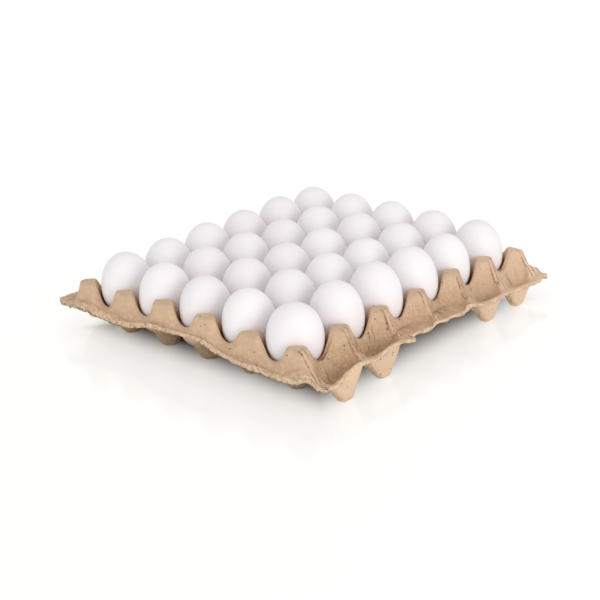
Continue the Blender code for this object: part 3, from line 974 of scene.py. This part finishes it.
def torn_colours(make, finish, base):
    """The torn edges, and the band on the lips, darkened with painted shade, with a line of painted shade
    where it begins.
    """
    frayed = make.noise(*FRAYING)
    wander = make.maths("MULTIPLY_ADD", frayed, BAND_WANDER, make.attribute("band"))
    band = make.rising(wander, *BAND_FULL)
    loose = make.noise(*LOOSE_PULP)
    # a line of painted shade where the band begins, in the gutter behind the lip
    base = make.mix(make.rising(wander, *BAND_EDGE_SHADE), base, finish.pulp_deep_shade)
    # painted shade on the top of the lip
    base = make.mix(make.product(band, BAND_SHADE_SHARE), base, finish.pulp_dark_and_shade)
    on_edge = make.product(make.attribute("rim"), loose)
    on_band = make.product(band, loose, TORN_BAND_SHARE)
    return make.mix(make.maths("MAXIMUM", on_edge, on_band), base, finish.torn)


def speck_marks(make):
    """Small dark dots, one in some of the cells of a scattered pattern."""
    cells = make.add("TexVoronoi")
    make.fill(cells.inputs["Scale"], SPECK_CELLS)
    make.fill(cells.inputs["Vector"], make.coords)
    dots = make.rising(cells.outputs["Distance"], *SPECK_DOT)
    parts = make.add("SeparateColor")
    make.fill(parts.inputs["Color"], cells.outputs["Color"])
    return make.product(dots, make.maths("LESS_THAN", parts.outputs[0], SPECK_CHANCE))


def pulp_material(finish, pitch):
    make = FinishNodes("moulded_pulp")
    crumbled_and_shaded = make.product(make.noise(*PITS), make.attribute("crumbled_and_shaded"))
    marks = fold_marks(make, pitch)
    base = pulp_colours(make, finish, crumbled_and_shaded)
    # painted shade in the fold lines and creases
    base = make.mix(make.product(marks, MARK_SHADE_SHARE), base, finish.pulp_deep_shade)
    base = torn_colours(make, finish, base)
    base = make.mix(speck_marks(make), base, finish.speck)
    sunk = make.bump(marks, *MARK_RELIEF)
    pitted = make.bump(crumbled_and_shaded, *PIT_RELIEF, sunk)
    grainy = make.bump(make.noise(*GRAIN), *GRAIN_RELIEF, pitted)
    make.surface(base, PULP_GLOSS, grainy)
    return make.material


def shell_material(name, colour):
    make = FinishNodes(name)
    warmer = [part * warmth for part, warmth in zip(colour, SHELL_WARMTH)]
    base = make.mix(make.product(make.noise(*CLOUDS), CLOUD_SHARE), colour, warmer)
    pores = make.bump(make.noise(*PORES), *PORE_RELIEF)
    swell = make.bump(make.noise(*SWELL), *SWELL_RELIEF, pores)
    make.surface(base, SHELL_GLOSS, swell)
    make.fill(make.shader.inputs["Subsurface Weight"], SUBSURFACE_SHARE)
    make.fill(make.shader.inputs["Subsurface Radius"], SUBSURFACE_SPREAD)
    make.fill(make.shader.inputs["Subsurface Scale"], SUBSURFACE_DEPTH)
    return make.material


def floor_material(look):
    """A pale floor that glows, except in a square under the tray where the glow is cut out as a painted
    shadow.
    """
    make = FinishNodes("floor_white")
    place = make.places()
    across = make.maths("ABSOLUTE", place["X"])
    along = make.maths("ABSOLUTE", place["Y"])
    from_middle = make.maths("MAXIMUM", across, along)
    make.surface(look.floor, FLOOR_GLOSS)
    make.fill(make.shader.inputs["Emission Color"], GLOW_COLOUR)
    # the glow fades out inside the square: a painted shadow under the tray
    glow = make.rising(from_middle, SHADOW_SQUARE_HALF, SHADOW_FADE_HALF, look.glow)
    make.fill(make.shader.inputs["Emission Strength"], glow)
    return make.material


def model_egg(name, sizes, growth, girth):
    """One egg about the origin, pointed end up, with its widest ring at height 0."""
    deselect_all()
    bpy.ops.mesh.primitive_uv_sphere_add(segments=sizes.segments, ring_count=sizes.rings, radius=1.0)
    egg = bpy.context.object
    egg.name = name
    egg.data.name = name
    places = points_of(egg)
    rise = places[:, 2].copy()
    radius = sizes.radius * (1.0 + EGG_GIRTH_SHARE * growth + girth)
    taper = np.where(rise > 0.0, 1.0 + EGG_SHOULDER * rise * rise, 1.0)
    places[:, 0] *= radius * taper
    places[:, 1] *= radius * taper
    places[:, 2] *= np.where(rise > 0.0, sizes.above * (1.0 + growth), sizes.below)
    place_points(egg, places)
    egg.data.shade_smooth()
    return egg


class EGGTRAY_OT_tray(bpy.types.Operator):
    """Model the moulded pulp tray and give it its finish"""
    bl_idname = "eggtray.tray"
    bl_label = "Tray"

    def execute(self, context):
        sizes = context.scene.tray_sizes
        tray = model_sheet(sizes)
        roughen_sheet(tray, sizes)
        tray.data.materials.append(pulp_material(context.scene.tray_finishes, sizes.pitch_x))
        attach(tray, BODY)
        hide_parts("tray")
        return {"FINISHED"}


class EGGTRAY_OT_eggs(bpy.types.Operator):
    """Model the thirty eggs, each a little different, and stand them in their cups"""
    bl_idname = "eggtray.eggs"
    bl_label = "Eggs"

    def execute(self, context):
        sizes = context.scene.egg_sizes
        tray = context.scene.tray_sizes
        shell = context.scene.tray_finishes.shell
        tints = random.Random(TINT_SEED)
        shells = []
        for kind in range(SHELL_KINDS):
            pink = tints.uniform(0.0, SHELL_PINK)
            light = tints.uniform(-SHELL_LIGHT, SHELL_LIGHT)
            colour = (shell[0] + light, shell[1] + light - pink, shell[2] + light - pink * PINK_IN_BLUE)
            shells.append(shell_material(f"eggshell_{kind + 1}", colour))
        draw = random.Random(EGG_SEED)
        for row in range(1, CELLS_Y + 1):
            for col in range(1, CELLS_X + 1):
                node = f"egg_{row}_{col}"
                growth = EGG_STANDOUTS.get((row, col), draw.uniform(-EGG_LENGTH_SPREAD, EGG_LENGTH_SPREAD))
                egg = model_egg(f"shell_{row}_{col}", sizes, growth, EGG_GIRTHS.get((row, col), 0.0))
                turn = Matrix.Rotation(draw.uniform(-sizes.tilt, sizes.tilt), 4, "X")
                turn = Matrix.Rotation(draw.uniform(-sizes.tilt, sizes.tilt), 4, "Y") @ turn
                turn = Matrix.Rotation(draw.uniform(0.0, math.tau), 4, "Z") @ turn
                place = Matrix.Translation((
                    (col - 0.5 - CELLS_X / 2) * tray.pitch_x,
                    (row - 0.5 - CELLS_Y / 2) * tray.pitch_y,
                    sizes.widest,
                ))
                egg.data.transform(place @ turn)
                egg.data.materials.append(shells[tints.randrange(len(shells))])
                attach(egg, BODY)
                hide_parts(node)
        return {"FINISHED"}


def add_lamp(name, place, target, size, power, colour=(1.0, 1.0, 1.0)):
    deselect_all()
    bpy.ops.object.light_add(type="AREA", location=place)
    lamp = bpy.context.object
    lamp.name = name
    lamp.data.shape = "DISK"
    lamp.data.size = size
    lamp.data.energy = power
    lamp.data.color = colour
    lamp.rotation_euler = (Vector(target) - Vector(place)).to_track_quat("-Z", "Y").to_euler()


def aim_camera():
    data = bpy.data.cameras.new("camera")
    camera = bpy.data.objects.new("camera", data)
    bpy.context.scene.collection.objects.link(camera)
    ahead = Vector((math.sin(CAMERA_HEADING) * math.cos(CAMERA_DIP),
                    math.cos(CAMERA_HEADING) * math.cos(CAMERA_DIP),
                    -math.sin(CAMERA_DIP)))
    level = Vector((math.cos(CAMERA_HEADING), -math.sin(CAMERA_HEADING), 0.0))
    upright = level.cross(ahead)
    right = level * math.cos(CAMERA_LEAN) + upright * math.sin(CAMERA_LEAN)
    up = upright * math.cos(CAMERA_LEAN) - level * math.sin(CAMERA_LEAN)
    turn = Matrix((right, up, -ahead)).transposed().to_4x4()
    camera.matrix_world = Matrix.Translation(CAMERA_PLACE) @ turn
    data.sensor_width = CAMERA_SENSOR
    data.lens = CAMERA_LENS
    data.shift_x = CAMERA_SHIFT_X
    data.shift_y = CAMERA_SHIFT_Y
    data.clip_start = CAMERA_NEAR
    data.dof.use_dof = False
    bpy.context.scene.camera = camera


class EGGTRAY_OT_stage(bpy.types.Operator):
    """Lay the pale floor, hang the soft lamps and set the camera"""
    bl_idname = "eggtray.stage"
    bl_label = "Stage"

    def execute(self, context):
        look = context.scene.stage_look
        deselect_all()
        bpy.ops.mesh.primitive_plane_add(size=FLOOR_SIZE, location=(0.0, 0.0, -FLOOR_DROP))
        floor = context.object
        floor.name = "floor"
        floor.data.materials.append(floor_material(look))

        world = bpy.data.worlds.new("white_room")
        world.use_nodes = True
        background = world.node_tree.nodes["Background"]
        background.inputs["Color"].default_value = (1.0, 1.0, 1.0, 1.0)
        background.inputs["Strength"].default_value = look.ambient
        context.scene.world = world

        context.scene.view_settings.view_transform = "Standard"
        add_lamp("key_lamp", KEY_PLACE, KEY_TARGET, KEY_SIZE, look.key)
        add_lamp("fill_lamp", FILL_PLACE, FILL_TARGET, FILL_SIZE, look.fill, FILL_COLOUR)
        aim_camera()
        return {"FINISHED"}


class EGGTRAY_PT_panel(bpy.types.Panel):
    """Lists the pieces of the egg tray"""
    bl_idname = "EGGTRAY_PT_panel"
    bl_label = "Egg tray"
    bl_space_type = "VIEW_3D"
    bl_region_type = "UI"
    bl_category = "Egg tray"

    def draw(self, context):
        column = self.layout.column()
        for operator in (EGGTRAY_OT_tray, EGGTRAY_OT_eggs, EGGTRAY_OT_stage):
            column.operator(operator.bl_idname)
        for owner in (context.scene.tray_sizes, context.scene.egg_sizes,
                      context.scene.tray_finishes, context.scene.stage_look):
            box = column.box()
            for key in owner.__annotations__:
                box.prop(owner, key)


CLASSES = (TraySizes, EggSizes, Finishes, StageLook, EGGTRAY_OT_tray, EGGTRAY_OT_eggs,
           EGGTRAY_OT_stage, EGGTRAY_PT_panel)


def register():
    for item in CLASSES:
        bpy.utils.register_class(item)
    bpy.types.Scene.tray_sizes = PointerProperty(type=TraySizes)
    bpy.types.Scene.egg_sizes = PointerProperty(type=EggSizes)
    bpy.types.Scene.tray_finishes = PointerProperty(type=Finishes)
    bpy.types.Scene.stage_look = PointerProperty(type=StageLook)


def unregister():
    del bpy.types.Scene.stage_look
    del bpy.types.Scene.tray_finishes
    del bpy.types.Scene.egg_sizes
    del bpy.types.Scene.tray_sizes
    for item in reversed(CLASSES):
        bpy.utils.unregister_class(item)


def main():
    register()
    bpy.ops.eggtray.stage()
    bpy.ops.eggtray.tray()
    bpy.ops.eggtray.eggs()


if __name__ == "__main__":
    main()
